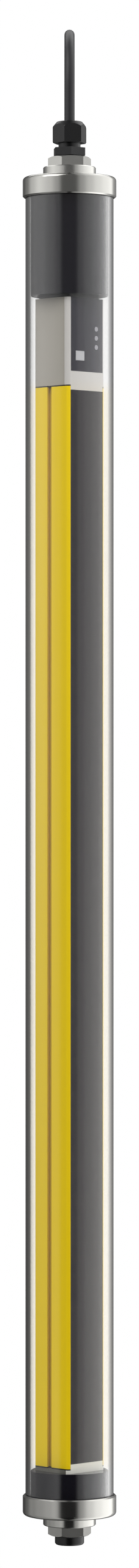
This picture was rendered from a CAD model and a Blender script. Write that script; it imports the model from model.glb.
import math

import bpy
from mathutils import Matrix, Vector


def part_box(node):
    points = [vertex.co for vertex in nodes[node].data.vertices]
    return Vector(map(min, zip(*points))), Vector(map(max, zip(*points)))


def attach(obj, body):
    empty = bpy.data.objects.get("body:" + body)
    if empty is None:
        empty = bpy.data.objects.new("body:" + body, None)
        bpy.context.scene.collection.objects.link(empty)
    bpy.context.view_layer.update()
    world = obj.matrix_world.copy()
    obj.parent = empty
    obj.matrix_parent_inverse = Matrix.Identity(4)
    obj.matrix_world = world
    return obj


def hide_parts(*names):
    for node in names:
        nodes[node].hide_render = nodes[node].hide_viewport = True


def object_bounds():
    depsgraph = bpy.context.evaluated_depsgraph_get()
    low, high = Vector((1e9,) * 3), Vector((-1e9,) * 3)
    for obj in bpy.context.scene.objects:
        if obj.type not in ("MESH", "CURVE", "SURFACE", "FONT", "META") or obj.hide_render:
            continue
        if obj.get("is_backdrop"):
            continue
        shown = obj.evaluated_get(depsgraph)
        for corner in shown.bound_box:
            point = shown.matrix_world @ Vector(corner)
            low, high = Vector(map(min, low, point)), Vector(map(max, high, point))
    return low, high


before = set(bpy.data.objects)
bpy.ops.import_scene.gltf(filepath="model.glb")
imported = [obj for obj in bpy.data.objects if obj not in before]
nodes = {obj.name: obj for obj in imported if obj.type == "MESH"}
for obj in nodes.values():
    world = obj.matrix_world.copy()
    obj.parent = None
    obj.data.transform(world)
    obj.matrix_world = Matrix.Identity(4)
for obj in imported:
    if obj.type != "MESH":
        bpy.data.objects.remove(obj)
cad_low, cad_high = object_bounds()

# ---- Camera ------------------------------------------------------------------------------------------
# A level camera that looks at the corner between the sensing face and the housing's left side. It
# stands a little above the middle of the tube, far enough away that the tube's sides look parallel.
camera_azimuth = 315.0
camera_distance = 3.36
camera_height = 0.4583
view_height = 0.99895  # how much the camera takes in from top to bottom, at the tube's axis


def direction_at(azimuth, elevation=0.0):
    """Unit vector from the tube's axis towards an azimuth. 0 is in front of the sensing face."""
    a, e = math.radians(azimuth), math.radians(elevation)
    return Vector((math.sin(a) * math.cos(e), -math.cos(a) * math.cos(e), math.sin(e)))


camera_data = bpy.data.cameras.new("studio_camera")
camera_data.lens = camera_data.sensor_width * camera_distance / view_height
camera_data.clip_end = 100.0
camera = bpy.data.objects.new("studio_camera", camera_data)
bpy.context.scene.collection.objects.link(camera)
camera.location = direction_at(camera_azimuth) * camera_distance + Vector((0, 0, camera_height))
camera.rotation_mode = "QUATERNION"
camera.rotation_quaternion = (-direction_at(camera_azimuth)).to_track_quat("-Z", "Y")
bpy.context.scene.camera = camera
bpy.context.scene.view_settings.view_transform = "Standard"

# ---- Studio ------------------------------------------------------------------------------------------
# A white surround that is seen directly and through the clear tube. What reflects sees a tent round
# the object instead: dark in front and behind, bright at both sides and dim right overhead. Three
# soft lamps hang above. The front one isn't mirrored, so the steel's edges stay dark in the middle.
surround_seen = 1.0
tent_brightest = 1.5
tent_glow = [  # degrees to the right of the camera, and how bright the tent is there
    (-180, 0.10),
    (-150, 0.12),
    (-128, 0.26),
    (-105, 0.70),
    (-80, 0.98),
    (-50, 0.75),
    (-30, 0.45),
    (-16, 0.12),
    (14, 0.12),
    (30, 0.44),
    (52, 0.78),
    (75, 1.08),
    (100, 1.30),
    (125, 1.47),
    (141, 0.45),
    (160, 0.25),
    (180, 0.10),
]
tent_low_scale = 1.2
tent_low = [  # degrees to the right of the camera, and the lower part's brightness beside the rest's
    (-180, 0.50),
    (-126, 0.60),
    (-95, 0.38),
    (-78, 0.36),
    (-50, 0.62),
    (-33, 1.10),
    (-18, 0.10),
    (13, 0.10),
    (24, 0.90),
    (45, 1.20),
    (100, 1.20),
    (180, 1.00),
]
low_up_to = -0.14  # the sine of the elevation where the lower part begins to fade
low_gone_at = 0.06
tent_overhead = 0.3  # right overhead and right below, beside the tent round about
steep_from = 0.86  # the sine of the elevation
steep_to = 0.99
lamps_aim = Vector((0, 0, 0.42))
lamps = [  # degrees right of the camera, elevation, distance, width, height, radiance, mirrored
    ("back_high_softbox", 180, 56, 2.2, 2.2, 1.2, 1.2, True),
    ("left_high_softbox", -50, 48, 2.0, 1.4, 1.4, 1.2, True),
    ("front_high_softbox", 12, 50, 2.0, 1.6, 1.6, 2.7, False),
]
for name, right, elevation, distance, width, height, radiance, mirrored in lamps:
    light = bpy.data.lights.new(name, "AREA")
    light.shape = "RECTANGLE"
    light.size = width
    light.size_y = height
    light.energy = radiance * math.pi * width * height
    lamp = bpy.data.objects.new(name, light)
    bpy.context.scene.collection.objects.link(lamp)
    towards = direction_at(camera_azimuth + right, elevation)
    lamp.location = lamps_aim + towards * distance
    lamp.rotation_mode = "QUATERNION"
    lamp.rotation_quaternion = towards.to_track_quat("Z", "Y")
    lamp.visible_camera = False
    lamp.visible_transmission = False
    lamp.visible_glossy = mirrored


def fed_node(tree, kind, inputs, **settings):
    """A new node with its settings. Each input takes a link from a socket, or a plain value."""
    node = tree.nodes.new(kind)
    for name, value in settings.items():
        setattr(node, name, value)
    for name, value in inputs.items():
        if isinstance(value, bpy.types.NodeSocket):
            tree.links.new(value, node.inputs[name])
        else:
            node.inputs[name].default_value = value
    return node


def math_node(tree, operation, first, second=0.0, clamped=False):
    node = fed_node(tree, "ShaderNodeMath", {0: first, 1: second}, operation=operation, use_clamp=clamped)
    return node.outputs["Value"]


def mix_node(tree, kind, factor, first, second):
    node = fed_node(tree, "ShaderNodeMix", {"Factor": factor, "A": first, "B": second}, data_type=kind)
    return node.outputs["Result"]


def smooth_rise(tree, value, start, end):
    """0 up to the start, 1 from the end on, and a smooth rise between them."""
    node = fed_node(
        tree, "ShaderNodeMapRange", {"Value": value, "From Min": start, "From Max": end},
        interpolation_type="SMOOTHSTEP",
    )
    return node.outputs["Result"]


world = bpy.data.worlds.new("white_surround")
bpy.context.scene.world = world
world.use_nodes = True
sky = world.node_tree
sky.nodes.clear()
looking = sky.nodes.new("ShaderNodeTexCoord").outputs["Generated"]


def sky_along(direction):
    """How far the direction that is looked in points along another one."""
    node = fed_node(sky, "ShaderNodeVectorMath", {0: looking, 1: direction}, operation="DOT_PRODUCT")
    return node.outputs["Value"]


def sky_round(stops, scale):
    """A value that changes with the direction round the object, as its list of stops says."""
    ramp = fed_node(sky, "ShaderNodeValToRGB", {"Fac": turn})
    ramp.color_ramp.interpolation = "EASE"
    while len(ramp.color_ramp.elements) < len(stops):
        ramp.color_ramp.elements.new(0.5)
    for element, (degrees, value) in zip(ramp.color_ramp.elements, stops):
        element.position = degrees / 360 + 0.5
        element.color = (*[value / scale] * 3, 1)
    return math_node(sky, "MULTIPLY", ramp.outputs["Color"], scale)


to_right = sky_along(direction_at(camera_azimuth + 90))
to_camera = sky_along(direction_at(camera_azimuth))
upwards = sky_along((0, 0, 1))
turn = math_node(sky, "DIVIDE", math_node(sky, "ARCTAN2", to_right, to_camera), 2 * math.pi)
turn = math_node(sky, "ADD", turn, 0.5)
tent = sky_round(tent_glow, tent_brightest)
low = sky_round(tent_low, tent_low_scale)
low = mix_node(sky, "FLOAT", smooth_rise(sky, upwards, low_up_to, low_gone_at), low, 1.0)
steep = smooth_rise(sky, math_node(sky, "ABSOLUTE", upwards), steep_from, steep_to)
steep = mix_node(sky, "FLOAT", steep, 1.0, tent_overhead)
tent = math_node(sky, "MULTIPLY", math_node(sky, "MULTIPLY", tent, low), steep)
ray = sky.nodes.new("ShaderNodeLightPath").outputs
straight = math_node(sky, "MAXIMUM", ray["Is Camera Ray"], ray["Is Transmission Ray"])
bounced = math_node(sky, "ADD", ray["Glossy Depth"], ray["Diffuse Depth"], clamped=True)
straight = math_node(sky, "SUBTRACT", straight, bounced, clamped=True)
strength = mix_node(sky, "FLOAT", straight, tent, surround_seen)
background = fed_node(sky, "ShaderNodeBackground", {"Color": (1, 1, 1, 1), "Strength": strength})
fed_node(sky, "ShaderNodeOutputWorld", {"Surface": background.outputs["Background"]})

# ---- Lead --------------------------------------------------------------------------------------------
# Round cable with a dark grey polyurethane jacket, extruded over its cores. The gland grips it. It
# rises from the nut, arches over and hangs behind the tube, with its connector at the end.
lead_diameter = 0.0066
lead_start = 0.8671  # inside the gland's rubber bush
nut_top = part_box("gland_nut")[1][2]
lead_back = Vector((1, 1, 0)).normalized()
lead_route = [  # how far back from the tube's axis, and how far above the gland's nut
    (0.0, lead_start - nut_top),
    (0.0, 0.0),
    (0.0, 0.044),
    (0.0381, 0.066),
    (0.0762, 0.044),
    (0.0776, -0.010),
    (0.0746, -0.076),
    (0.0732, -0.144),
    (0.0742, -0.209),
    (0.0736, -0.274),
]
lead_points = [lead_back * behind + Vector((0, 0, nut_top + above)) for behind, above in lead_route]
lead_curve = bpy.data.curves.new("lead", "CURVE")
lead_curve.dimensions = "3D"
lead_curve.bevel_depth = lead_diameter / 2
lead_curve.bevel_resolution = 6
lead_curve.resolution_u = 16
lead_curve.use_fill_caps = True
route = lead_curve.splines.new("NURBS")
route.points.add(len(lead_points) - 1)
for point, position in zip(route.points, lead_points):
    point.co = (*position, 1.0)
route.order_u = 3
route.use_endpoint_u = True
lead = bpy.data.objects.new("lead", lead_curve)
bpy.context.scene.collection.objects.link(lead)


def linear(red, green, blue):
    """A paint's colour from its usual 0 to 255 values, as the shaders take it."""
    def channel(value):
        value /= 255
        return value / 12.92 if value <= 0.04045 else ((value + 0.055) / 1.055) ** 2.4

    return (channel(red), channel(green), channel(blue), 1.0)


def shader_of(finish):
    return finish.node_tree.nodes["Principled BSDF"]


def finish_of(name, colour, roughness, metallic=0.0):
    """A new material, whose Principled shader has these plain values."""
    finish = bpy.data.materials.new(name)
    finish.use_nodes = True
    shader = shader_of(finish)
    shader.inputs["Base Color"].default_value = colour
    shader.inputs["Roughness"].default_value = roughness
    shader.inputs["Metallic"].default_value = metallic
    return finish


def wear_finish(piece, finish):
    """Puts one finish on every face of a piece."""
    if len(piece.material_slots):
        for place in piece.material_slots:
            place.material = finish
    else:
        piece.data.materials.append(finish)


def new_effect(name, inputs):
    """A shader group with named number inputs that gives a roughness and a normal."""
    group = bpy.data.node_groups.new(name, "ShaderNodeTree")
    for socket, value in inputs.items():
        made = group.interface.new_socket(socket, in_out="INPUT", socket_type="NodeSocketFloat")
        made.default_value = value
    group.interface.new_socket("Roughness", in_out="OUTPUT", socket_type="NodeSocketFloat")
    group.interface.new_socket("Normal", in_out="OUTPUT", socket_type="NodeSocketVector")
    return group, group.nodes.new("NodeGroupInput").outputs


def finish_effect(group, given, vector, patch_scale, patch_detail, height, depth, distance):
    """Lets the roughness vary in soft patches, presses the height into the normal, and ends a group."""
    patches = fed_node(
        group, "ShaderNodeTexNoise", {"Vector": vector, "Scale": patch_scale, "Detail": patch_detail}
    )
    swing = math_node(group, "SUBTRACT", patches.outputs["Fac"], 0.5)
    swing = math_node(group, "MULTIPLY", swing, given["Unevenness"])
    press = fed_node(
        group, "ShaderNodeBump", {"Height": height, "Strength": depth, "Distance": distance}
    )
    fed_node(
        group, "NodeGroupOutput",
        {
            "Roughness": math_node(group, "ADD", swing, given["Roughness"]),
            "Normal": press.outputs["Normal"],
        },
    )


def with_effect(finish, group, **values):
    """Places a shared effect in a material, with this material's own values."""
    inputs = {name.replace("_", " ").capitalize(): value for name, value in values.items()}
    effect = fed_node(finish.node_tree, "ShaderNodeGroup", inputs, node_tree=group)
    for output in ("Roughness", "Normal"):
        finish.node_tree.links.new(effect.outputs[output], shader_of(finish).inputs[output])
    return finish


# Moulded grain: the fine, even unevenness of moulded plastic, rubber, powder coat and plating.
grain, grain_given = new_effect(
    "moulded_grain", {"Grain size": 0.0004, "Grain depth": 0.1, "Roughness": 0.4, "Unevenness": 0.08}
)
grain_place = grain.nodes.new("ShaderNodeTexCoord").outputs["Object"]
fine = fed_node(
    grain, "ShaderNodeTexNoise",
    {
        "Vector": grain_place,
        "Scale": math_node(grain, "DIVIDE", 1.0, grain_given["Grain size"]),
        "Detail": 3.0,
    },
)
finish_effect(
    grain, grain_given, grain_place, patch_scale=60.0, patch_detail=4.0, height=fine.outputs["Fac"],
    depth=grain_given["Grain depth"], distance=0.00005,
)


def grained(name, colour, roughness, metallic=0.0, grain_size=0.0004, grain_depth=0.1, unevenness=0.08):
    """A material with moulded grain on it."""
    return with_effect(
        finish_of(name, colour, roughness, metallic), grain, grain_size=grain_size,
        grain_depth=grain_depth, roughness=roughness, unevenness=unevenness,
    )


jacket = grained("cable_jacket", linear(38, 38, 40), 0.42, grain_size=0.0006, grain_depth=0.25)
wear_finish(lead, jacket)
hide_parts("lead_cable")
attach(lead, "root")

# ---- Connector on the lead ---------------------------------------------------------------------------
# Round eight-pole plug: a black moulded grip with ribs, a knurled coupling nut of nickel-plated
# brass, a black insert and gold-plated pins. The grip is moulded onto the jacket, the nut turns on it.
grip_ribs = 5
grip_rib_pitch = 0.0021
grip_rib_stands = 0.0004
grip_rib_start = 0.0145  # from the cable's end of the grip to its first rib
grip_rib_steps = 48
grip_rib_section_steps = 8
grip_radius = 0.0063
grip_length = 0.026
coupling_radius = 0.00725
coupling_length = 0.0125
coupling_wall = 0.0013
coupling_edge = 0.00043
coupling_bore = 0.0043  # in its back wall, round the connector's nose
coupling_steps = 216
knurl_ridges = 36
knurl_depth = 0.0004
knurl_run_out = 0.0003
knurl_from_back = 0.0011
knurl_from_mouth = 0.0026
plug_way = (lead_points[-1] - lead_points[-2]).normalized()
plug_turn = Vector((0, 0, -1)).rotation_difference(plug_way)


def mesh_piece(name, vertices, faces):
    mesh = bpy.data.meshes.new(name)
    mesh.from_pydata(vertices, [], faces)
    mesh.update()
    piece = bpy.data.objects.new(name, mesh)
    bpy.context.scene.collection.objects.link(piece)
    return piece


def pattern_tree(name, inputs):
    """A geometry tree with named inputs, a material's among them, and the outputs that give them."""
    tree = bpy.data.node_groups.new(name, "GeometryNodeTree")
    for socket, kind in {**inputs, "Finish": "Material"}.items():
        tree.interface.new_socket(socket, in_out="INPUT", socket_type="NodeSocket" + kind)
    tree.interface.new_socket("Geometry", in_out="OUTPUT", socket_type="NodeSocketGeometry")
    return tree, tree.nodes.new("NodeGroupInput").outputs


def finish_pattern(tree, geometry, given):
    """Makes copies real and gives them their material, the last steps of each pattern."""
    real = fed_node(tree, "GeometryNodeRealizeInstances", {"Geometry": geometry})
    coat = fed_node(
        tree, "GeometryNodeSetMaterial",
        {"Geometry": real.outputs["Geometry"], "Material": given["Finish"]},
    )
    fed_node(tree, "NodeGroupOutput", {"Geometry": coat.outputs["Geometry"]})


def grown_piece(name, tree, turned=None, **values):
    """Runs a pattern with these values, on a turned piece or by itself, as a plain mesh piece."""
    carrier = turned or mesh_piece(name + "_pattern", [], [])
    maker = carrier.modifiers.new(name, "NODES")
    maker.node_group = tree
    for item in tree.interface.items_tree:
        if item.in_out == "INPUT" and item.socket_type != "NodeSocketGeometry":
            maker[item.identifier] = values[item.name.replace(" ", "_").lower()]
    shaped = carrier.evaluated_get(bpy.context.evaluated_depsgraph_get())
    mesh = bpy.data.meshes.new_from_object(shaped)
    carrier.modifiers.remove(maker)
    bpy.data.objects.remove(carrier)
    mesh.name = name
    piece = bpy.data.objects.new(name, mesh)
    bpy.context.scene.collection.objects.link(piece)
    return piece


# Ribs: rings of round section, one below the other, round a grip that hangs from the origin.
ribs, ribs_given = pattern_tree(
    "grip_ribs", {"Count": "Int", "Pitch": "Float", "Start": "Float", "Radius": "Float", "Stands": "Float"}
)
hoop = fed_node(
    ribs, "GeometryNodeCurvePrimitiveCircle", {"Resolution": grip_rib_steps, "Radius": ribs_given["Radius"]}
)
hoop_section = fed_node(
    ribs, "GeometryNodeCurvePrimitiveCircle",
    {"Resolution": grip_rib_section_steps, "Radius": ribs_given["Stands"]},
)
swept = fed_node(
    ribs, "GeometryNodeCurveToMesh",
    {"Curve": hoop.outputs["Curve"], "Profile Curve": hoop_section.outputs["Curve"]},
)
row_start = fed_node(
    ribs, "ShaderNodeCombineXYZ", {"Z": math_node(ribs, "MULTIPLY", ribs_given["Start"], -1.0)}
)
row_step = fed_node(
    ribs, "ShaderNodeCombineXYZ", {"Z": math_node(ribs, "MULTIPLY", ribs_given["Pitch"], -1.0)}
)
row = fed_node(
    ribs, "GeometryNodeMeshLine",
    {
        "Count": ribs_given["Count"],
        "Start Location": row_start.outputs["Vector"],
        "Offset": row_step.outputs["Vector"],
    },
)
copies = fed_node(
    ribs, "GeometryNodeInstanceOnPoints",
    {"Points": row.outputs["Mesh"], "Instance": swept.outputs["Mesh"]},
)
finish_pattern(ribs, copies.outputs["Instances"], ribs_given)

# Knurl: straight grooves side by side, pressed into a turned piece that hangs from the origin. They
# run between two levels and leave all that lies further in as it is.
knurl, knurl_given = pattern_tree(
    "knurl",
    {
        "Turned": "Geometry", "Count": "Int", "Radius": "Float", "Depth": "Float", "From": "Float",
        "To": "Float",
    },
)
knurl_point = knurl.nodes.new("GeometryNodeInputPosition")
knurl_split = fed_node(knurl, "ShaderNodeSeparateXYZ", {"Vector": knurl_point.outputs["Position"]})
knurl_x, knurl_y, knurl_z = (knurl_split.outputs[axis] for axis in "XYZ")


def from_axis(tree, x, y):
    """A point's distance from the upright axis."""
    squares = (math_node(tree, "MULTIPLY", side, side) for side in (x, y))
    return math_node(tree, "SQRT", math_node(tree, "ADD", *squares))


knurl_reach = from_axis(knurl, knurl_x, knurl_y)
knurl_skin = math_node(knurl, "SUBTRACT", knurl_given["Radius"], knurl_given["Depth"])
knurl_turn = math_node(knurl, "ARCTAN2", knurl_y, knurl_x)
ridges = math_node(knurl, "COSINE", math_node(knurl, "MULTIPLY", knurl_turn, knurl_given["Count"]))
pressed = math_node(knurl, "MULTIPLY", math_node(knurl, "SUBTRACT", ridges, 1.0), 0.5)
for part in (
    math_node(knurl, "LESS_THAN", knurl_z, knurl_given["From"]),
    math_node(knurl, "GREATER_THAN", knurl_z, knurl_given["To"]),
    math_node(knurl, "GREATER_THAN", knurl_reach, knurl_skin),
    knurl_given["Depth"],
):
    pressed = math_node(knurl, "MULTIPLY", pressed, part)
knurl_way = fed_node(
    knurl, "ShaderNodeCombineXYZ",
    {
        "X": math_node(knurl, "DIVIDE", knurl_x, knurl_reach),
        "Y": math_node(knurl, "DIVIDE", knurl_y, knurl_reach),
    },
)
knurl_move = fed_node(
    knurl, "ShaderNodeVectorMath", {"Vector": knurl_way.outputs["Vector"], "Scale": pressed},
    operation="SCALE",
)
knurled = fed_node(
    knurl, "GeometryNodeSetPosition",
    {"Geometry": knurl_given["Turned"], "Offset": knurl_move.outputs["Vector"]},
)
finish_pattern(knurl, knurled.outputs["Geometry"], knurl_given)


def lathed(name, section, steps):
    """A closed section of radius and height, turned round the origin's upright axis."""
    vertices = []
    faces = []
    for step in range(steps):
        angle = 2 * math.pi * step / steps
        this, following = step * len(section), (step + 1) % steps * len(section)
        for point, (radius, level) in enumerate(section):
            vertices.append((radius * math.cos(angle), radius * math.sin(angle), level))
            after = (point + 1) % len(section)
            faces.append((this + point, following + point, following + after, this + after))
    return mesh_piece(name, vertices, faces)


grip_black = grained("grip_black", linear(30, 30, 32), 0.5, grain_size=0.0003, grain_depth=0.3)
insert_black = grained("insert_black", linear(24, 24, 25), 0.45, grain_size=0.0002)
plated = grained(
    "plated_nickel", linear(196, 190, 180), 0.28, 1.0, grain_size=0.0008, grain_depth=0.06, unevenness=0.2
)
gold = grained(
    "gold_contact", linear(226, 178, 86), 0.22, 1.0, grain_size=0.0002, grain_depth=0.05, unevenness=0.1
)
grip = grown_piece(
    "connector_grip_ribs", ribs, count=grip_ribs, pitch=grip_rib_pitch, start=grip_rib_start,
    radius=grip_radius, stands=grip_rib_stands, finish=grip_black,
)
coupling_back = -grip_length
coupling_mouth = coupling_back - coupling_length
coupling_inner = coupling_radius - coupling_wall
knurl_top = coupling_back - knurl_from_back
knurl_bottom = coupling_mouth + knurl_from_mouth
coupling_blank = lathed(
    "coupling_blank",
    [
        (coupling_inner, coupling_mouth),
        (coupling_radius - coupling_edge, coupling_mouth),
        (coupling_radius, coupling_mouth + coupling_edge),
        (coupling_radius, knurl_bottom),
        (coupling_radius, knurl_bottom + knurl_run_out),
        (coupling_radius, knurl_top - knurl_run_out),
        (coupling_radius, knurl_top),
        (coupling_radius, coupling_back - coupling_edge),
        (coupling_radius - coupling_edge, coupling_back),
        (coupling_bore, coupling_back),
        (coupling_bore, coupling_back - coupling_wall),
        (coupling_inner, coupling_back - coupling_wall),
    ],
    coupling_steps,
)
knurl_levels = {"from": knurl_top - knurl_run_out / 2, "to": knurl_bottom + knurl_run_out / 2}
coupling_nut = grown_piece(
    "connector_coupling_nut", knurl, coupling_blank, count=knurl_ridges, radius=coupling_radius,
    depth=knurl_depth, finish=plated, **knurl_levels,
)
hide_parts("connector_nut")
for detail, slot in ((grip, "black_polyamide"), (coupling_nut, "nickel")):
    for vertex in detail.data.vertices:
        vertex.co = plug_turn @ vertex.co + lead_points[-1]
    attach(detail, "root")
wear_finish(nodes["connector_body"], grip_black)
wear_finish(nodes["connector_insert"], insert_black)
wear_finish(nodes["connector_pins"], gold)

# ---- Protective tube ---------------------------------------------------------------------------------
# Clear extruded acrylic tube, cut square at both ends. It stands on the lower cap's face and the
# upper cap closes it. Light bends in its wall, so its wall is a ring with true inner and outer faces.
tube_low, tube_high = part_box("protective_tube")
tube_wall = 0.003
tube_edge = 0.0003
tube_steps = 240
tube_bend = 1.49  # acrylic's index of refraction
acrylic_tint = (0.97, 0.97, 0.965, 1)
cast_tint = (0.985, 0.958, 0.895, 1)
cast_fades = 0.012
sharp_from = math.radians(30)  # edges that turn more than this stay crisp

wall, wall_given = pattern_tree(
    "ring_wall",
    {
        "Outer radius": "Float", "Wall": "Float", "Bottom": "Float", "Top": "Float", "Edge": "Float",
        "Steps": "Int",
    },
)
half_wall = math_node(wall, "MULTIPLY", wall_given["Wall"], 0.5)
wall_centre = math_node(wall, "ADD", wall_given["Top"], wall_given["Bottom"])
round_path = fed_node(
    wall, "GeometryNodeCurvePrimitiveCircle",
    {
        "Resolution": wall_given["Steps"],
        "Radius": math_node(wall, "SUBTRACT", wall_given["Outer radius"], half_wall),
    },
)
section = fed_node(
    wall, "GeometryNodeCurvePrimitiveQuadrilateral",
    {
        "Width": wall_given["Wall"],
        "Height": math_node(wall, "SUBTRACT", wall_given["Top"], wall_given["Bottom"]),
    },
)
broken_edges = fed_node(
    wall, "GeometryNodeFilletCurve", {"Curve": section.outputs["Curve"], "Radius": wall_given["Edge"]}
)
drawn = fed_node(
    wall, "GeometryNodeCurveToMesh",
    {"Curve": round_path.outputs["Curve"], "Profile Curve": broken_edges.outputs["Curve"]},
)
rise = fed_node(wall, "ShaderNodeCombineXYZ", {"Z": math_node(wall, "MULTIPLY", wall_centre, 0.5)})
raised = fed_node(
    wall, "GeometryNodeTransform",
    {"Geometry": drawn.outputs["Mesh"], "Translation": rise.outputs["Vector"]},
)
smooth = fed_node(
    wall, "GeometryNodeSetShadeSmooth", {"Geometry": raised.outputs["Geometry"]}, domain="FACE"
)
bends = wall.nodes.new("GeometryNodeInputMeshEdgeAngle")
creased = fed_node(
    wall, "GeometryNodeSetShadeSmooth",
    {
        "Geometry": smooth.outputs["Geometry"],
        "Selection": math_node(wall, "GREATER_THAN", bends.outputs["Unsigned Angle"], sharp_from),
        "Shade Smooth": False,
    },
    domain="EDGE",
)
finish_pattern(wall, creased.outputs["Geometry"], wall_given)


def clear_plastic(name, tint, roughness, bend):
    """See-through plastic. Rays from the lamps and from what it covers go straight through."""
    finish = finish_of(name, tint, roughness)
    tree = finish.node_tree
    shader = shader_of(finish)
    shader.inputs["Transmission Weight"].default_value = 1.0
    shader.inputs["IOR"].default_value = bend
    ray = tree.nodes.new("ShaderNodeLightPath").outputs
    unbent = fed_node(tree, "ShaderNodeBsdfTransparent", {"Color": tint})
    both = fed_node(
        tree, "ShaderNodeMixShader",
        {
            "Fac": math_node(tree, "MAXIMUM", ray["Is Shadow Ray"], ray["Is Diffuse Ray"]),
            1: shader.outputs["BSDF"],
            2: unbent.outputs["BSDF"],
        },
    )
    tree.links.new(both.outputs["Shader"], tree.nodes["Material Output"].inputs["Surface"])
    return finish


def point_of(tree):
    """The X, Y and Z of a point on the object, as a material reads them."""
    place = tree.nodes.new("ShaderNodeTexCoord").outputs["Object"]
    return fed_node(tree, "ShaderNodeSeparateXYZ", {"Vector": place}).outputs


# The wall carries a faint cast of the yellow housing, over the housing's length only.
acrylic = clear_plastic("clear_acrylic", acrylic_tint, 0.0, tube_bend)
acrylic_tree = acrylic.node_tree
level = point_of(acrylic_tree)["Z"]
cast_low, cast_high = (corner[2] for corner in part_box("housing_profile"))
above_foot = math_node(acrylic_tree, "SUBTRACT", level, cast_low)
below_head = math_node(acrylic_tree, "SUBTRACT", cast_high, level)
beside_housing = math_node(acrylic_tree, "MINIMUM", above_foot, below_head)
cast = smooth_rise(acrylic_tree, beside_housing, -cast_fades / 2, cast_fades / 2)
cast_mix = mix_node(acrylic_tree, "RGBA", cast, acrylic_tint, cast_tint)
acrylic_tree.links.new(cast_mix, shader_of(acrylic).inputs["Base Color"])
tube = grown_piece(
    "clear_tube", wall, outer_radius=tube_high[0], wall=tube_wall, bottom=tube_low[2],
    top=tube_high[2], edge=tube_edge, steps=tube_steps, finish=acrylic,
)
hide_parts("protective_tube")
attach(tube, "root")

# ---- End caps and adapters ---------------------------------------------------------------------------
# Stainless steel, turned from bar: a cap with a skirt over the tube's end at each end, and an adapter
# with a collar and a hexagon screwed into it. Fine turning marks run round them. The upper adapter,
# which the gland is tightened on, is duller.
turning, turning_given = new_effect(
    "turning_marks", {"Pitch": 0.00012, "Depth": 0.1, "Roughness": 0.2, "Unevenness": 0.1}
)
turned_point = point_of(turning)
along_tool = fed_node(
    turning, "ShaderNodeCombineXYZ",
    {"X": from_axis(turning, turned_point["X"], turned_point["Y"]), "Z": turned_point["Z"]},
)
marks = fed_node(
    turning, "ShaderNodeTexNoise",
    {
        "Vector": along_tool.outputs["Vector"],
        "Scale": math_node(turning, "DIVIDE", 1.0, turning_given["Pitch"]),
        "Detail": 2.0,
    },
)
finish_effect(
    turning, turning_given, turning.nodes.new("ShaderNodeTexCoord").outputs["Object"], patch_scale=90.0,
    patch_detail=5.0, height=marks.outputs["Fac"], depth=turning_given["Depth"], distance=0.00002,
)


def machined(name, colour, roughness, pitch, depth):
    """A bare metal with turning marks on it."""
    return with_effect(
        finish_of(name, colour, roughness, 1.0), turning, pitch=pitch, depth=depth, roughness=roughness,
        unevenness=0.12,
    )


turned_steel = machined("turned_stainless", linear(206, 205, 200), 0.15, pitch=0.00015, depth=0.2)
dull_steel = machined("dull_stainless", linear(218, 217, 212), 0.23, pitch=0.0002, depth=0.3)
for name in ("bottom_end_cap", "top_end_cap", "bottom_adapter"):
    wear_finish(nodes[name], turned_steel)
wear_finish(nodes["top_adapter"], dull_steel)

# ---- Seals and gaskets -------------------------------------------------------------------------------
# Black rubber: O-rings in the caps' and adapters' grooves, flat washers, the gland's bush, the
# window's strips, and the die-cut gaskets between the housing's ends and the head and foot.
seal_rubber = grained("seal_rubber", linear(26, 26, 26), 0.62, grain_size=0.0005, grain_depth=0.2)
for name in (
    "bottom_tube_seal", "top_tube_seal", "bottom_adapter_seal", "top_adapter_seal", "gland_washer",
    "gland_insert", "vent_washer", "window_seals", "head_gasket", "foot_gasket",
):
    wear_finish(nodes[name], seal_rubber)

# ---- Cable gland and vent plug -----------------------------------------------------------------------
# Black glass-filled polyamide mouldings: the gland's body and domed nut, which clamp the lead, and
# the plug below, which lets the tube breathe through a white membrane.
gland_black = grained(
    "gland_polyamide", linear(13, 13, 14), 0.26, grain_size=0.0003, grain_depth=0.12, unevenness=0.12
)
membrane_white = grained(
    "membrane_felt", linear(236, 235, 230), 0.8, grain_size=0.0002, grain_depth=0.4
)
for name in ("gland_body", "gland_nut", "vent_plug"):
    wear_finish(nodes[name], gland_black)
wear_finish(nodes["vent_membrane"], membrane_white)

# ---- Sleeves that centre the device ------------------------------------------------------------------
# Glossy black mouldings inside the tube: a tall sleeve round the plug at the top, and a low cup with
# a pocket for the device's foot at the bottom. Both slide into the tube and rest on the caps.
sleeve_black = grained(
    "sleeve_gloss", linear(21, 20, 27), 0.1, grain_size=0.004, grain_depth=0.0, unevenness=0.03
)
wear_finish(nodes["upper_sleeve"], sleeve_black)
wear_finish(nodes["lower_sleeve"], sleeve_black)

# ---- Housing of the device ---------------------------------------------------------------------------
# Extruded aluminium, powder coated in signal yellow. A groove runs down each side, and a channel in
# front takes the window. Under the coat the die's faint lines still run its whole length.
coat_colour = linear(252, 221, 10)
coat_deep = linear(236, 196, 4)
coat_in_groove = linear(240, 210, 6)
die_line_share = 0.25
die_line_stretch = (900, 900, 3)
groove_y = 0.0013
groove_reach = 0.0036
groove_edge = 0.0003
coat = grained("yellow_powder_coat", coat_colour, 0.34, grain_size=0.0009, grain_depth=0.12, unevenness=0.1)
shader_of(coat).inputs["Specular IOR Level"].default_value = 0.2
coat_tree = coat.node_tree
coat_stretch = fed_node(
    coat_tree, "ShaderNodeMapping",
    {
        "Vector": coat_tree.nodes.new("ShaderNodeTexCoord").outputs["Object"],
        "Scale": die_line_stretch,
    },
)
die_lines = fed_node(
    coat_tree, "ShaderNodeTexNoise",
    {"Vector": coat_stretch.outputs["Vector"], "Scale": 1.0, "Detail": 2.0},
)
lined = math_node(coat_tree, "MULTIPLY", die_lines.outputs["Fac"], die_line_share)
lined = mix_node(coat_tree, "RGBA", lined, coat_colour, coat_deep)
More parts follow.
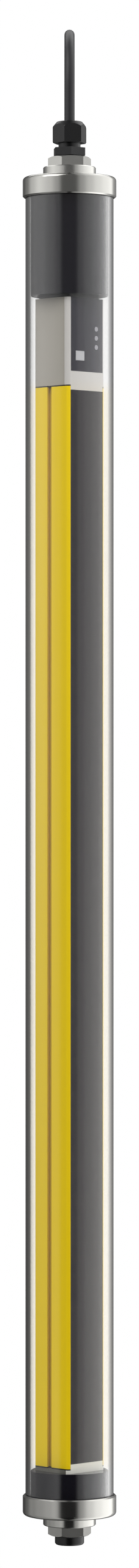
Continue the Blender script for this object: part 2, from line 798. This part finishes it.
# The coat is darker inside the side grooves.
coat_point = point_of(coat_tree)
side_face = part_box("housing_profile")[1][0]
from_middle = math_node(coat_tree, "ABSOLUTE", coat_point["X"])
sunk = math_node(coat_tree, "LESS_THAN", from_middle, side_face - groove_edge)
from_groove = math_node(coat_tree, "ABSOLUTE", math_node(coat_tree, "SUBTRACT", coat_point["Y"], groove_y))
beside = math_node(coat_tree, "LESS_THAN", from_groove, groove_reach)
in_groove = math_node(coat_tree, "MULTIPLY", sunk, beside)
coat_mix = mix_node(coat_tree, "RGBA", in_groove, lined, coat_in_groove)
coat_tree.links.new(coat_mix, shader_of(coat).inputs["Base Color"])
wear_finish(nodes["housing_profile"], coat)

# ---- Front window ------------------------------------------------------------------------------------
# A dark infrared filter of coloured acrylic, glossy, which looks nearly black. It lies in the
# housing's channel on two rubber strips.
filter_dark = grained(
    "dark_filter", linear(23, 22, 37), 0.09, grain_size=0.02, grain_depth=0.0, unevenness=0.05
)
shader_of(filter_dark).inputs["Specular IOR Level"].default_value = 0.37
wear_finish(nodes["front_window"], filter_dark)

# ---- Optics and boards -------------------------------------------------------------------------------
# Behind the window: a black moulded carrier with a tunnel for each beam, clear lenses, and the
# circuit boards with their emitters and the header that joins them.
optics_black = grained("optics_black", linear(18, 18, 18), 0.7, grain_size=0.0003, grain_depth=0.3)
lens_clear = clear_plastic("lens_acrylic", (0.98, 0.98, 0.98, 1), 0.02, tube_bend)
board_green = grained("board_lacquer", linear(20, 74, 46), 0.32, grain_size=0.0008, grain_depth=0.2)
part_black = grained("part_epoxy", linear(28, 28, 30), 0.5, grain_size=0.0002, grain_depth=0.2)
wear_finish(nodes["optics_carrier"], optics_black)
wear_finish(nodes["lenses"], lens_clear)
for name in ("main_board", "display_board"):
    wear_finish(nodes[name], board_green)
for name in ("emitters", "board_header"):
    wear_finish(nodes[name], part_black)

# ---- Head of the device ------------------------------------------------------------------------------
# A silver-grey moulded box with a light grey bezel and a dark display panel in front. Three small
# lamps and a readout window shine through the panel. A black cover closes it above.
head_silver = grained("head_silver", linear(174, 169, 160), 0.42, grain_depth=0.15, unevenness=0.1)
bezel_grey = grained("bezel_grey", linear(209, 206, 203), 0.38, grain_depth=0.12, unevenness=0.1)
panel_dark = grained("panel_film", linear(42, 40, 50), 0.2, grain_size=0.0012, grain_depth=0.05)
shader_of(panel_dark).inputs["Specular IOR Level"].default_value = 0.36
lamp_white = grained("lamp_diffuser", linear(156, 154, 162), 0.3, grain_size=0.0005)
readout_pale = grained("readout_diffuser", linear(188, 188, 192), 0.3, grain_size=0.0006)
cover_black = grained("cover_black", linear(24, 24, 25), 0.3, grain_depth=0.15)
wear_finish(nodes["head_housing"], head_silver)
wear_finish(nodes["head_bezel"], bezel_grey)
wear_finish(nodes["display_panel"], panel_dark)
wear_finish(nodes["status_lights"], lamp_white)
wear_finish(nodes["readout_window"], readout_pale)
wear_finish(nodes["head_cover"], cover_black)

# ---- Foot of the device and screws -------------------------------------------------------------------
# A moulded foot closes the housing below and stands in the lower cup. Its front shell is the bezel's
# light grey and its body a darker one. Zinc-plated screws hold foot and head in the screw ports.
foot_light = linear(250, 250, 244)
foot_dark = linear(112, 112, 104)
foot_front_shell = 0.0022
foot_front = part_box("foot_cap")[0][1]
foot_grey = grained("foot_grey", foot_light, 0.4, grain_depth=0.12, unevenness=0.1)
foot_tree = foot_grey.node_tree
shell_back = foot_front + foot_front_shell
behind_shell = math_node(foot_tree, "GREATER_THAN", point_of(foot_tree)["Y"], shell_back)
foot_mix = mix_node(foot_tree, "RGBA", behind_shell, foot_light, foot_dark)
foot_tree.links.new(foot_mix, shader_of(foot_grey).inputs["Base Color"])
zinc = grained("zinc_plate", linear(180, 182, 186), 0.34, 1.0, grain_size=0.0003, unevenness=0.2)
wear_finish(nodes["foot_cap"], foot_grey)
wear_finish(nodes["head_screws"], zinc)
wear_finish(nodes["foot_screws"], zinc)

# ---- Plug and lead inside the tube -------------------------------------------------------------------
# In the upper sleeve: the device's plated socket, the moulded plug with its nut, and the stretch of
# lead that runs up to the gland.
wear_finish(nodes["head_socket"], plated)
wear_finish(nodes["lead_plug_nut"], plated)
wear_finish(nodes["lead_plug"], grip_black)
wear_finish(nodes["inner_lead"], jacket)

# ---- Floor -------------------------------------------------------------------------------------------
# A plain pale disc well below the vent plug, which hangs clear of it. It is no part of the object,
# and what reflects sees the tent and not the floor.
floor_below = 0.25
floor_radius = 1.0
floor_steps = 96
floor_level = cad_low[2] - floor_below
bpy.ops.mesh.primitive_circle_add(
    vertices=floor_steps, radius=floor_radius, fill_type="NGON", location=(0, 0, floor_level)
)
floor = bpy.context.object
floor.name = "studio_floor"
floor.visible_glossy = False
wear_finish(floor, finish_of("floor_pale", linear(214, 214, 212), 0.7))
floor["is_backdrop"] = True

# ---- Sizes and table ---------------------------------------------------------------------------------
low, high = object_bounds()
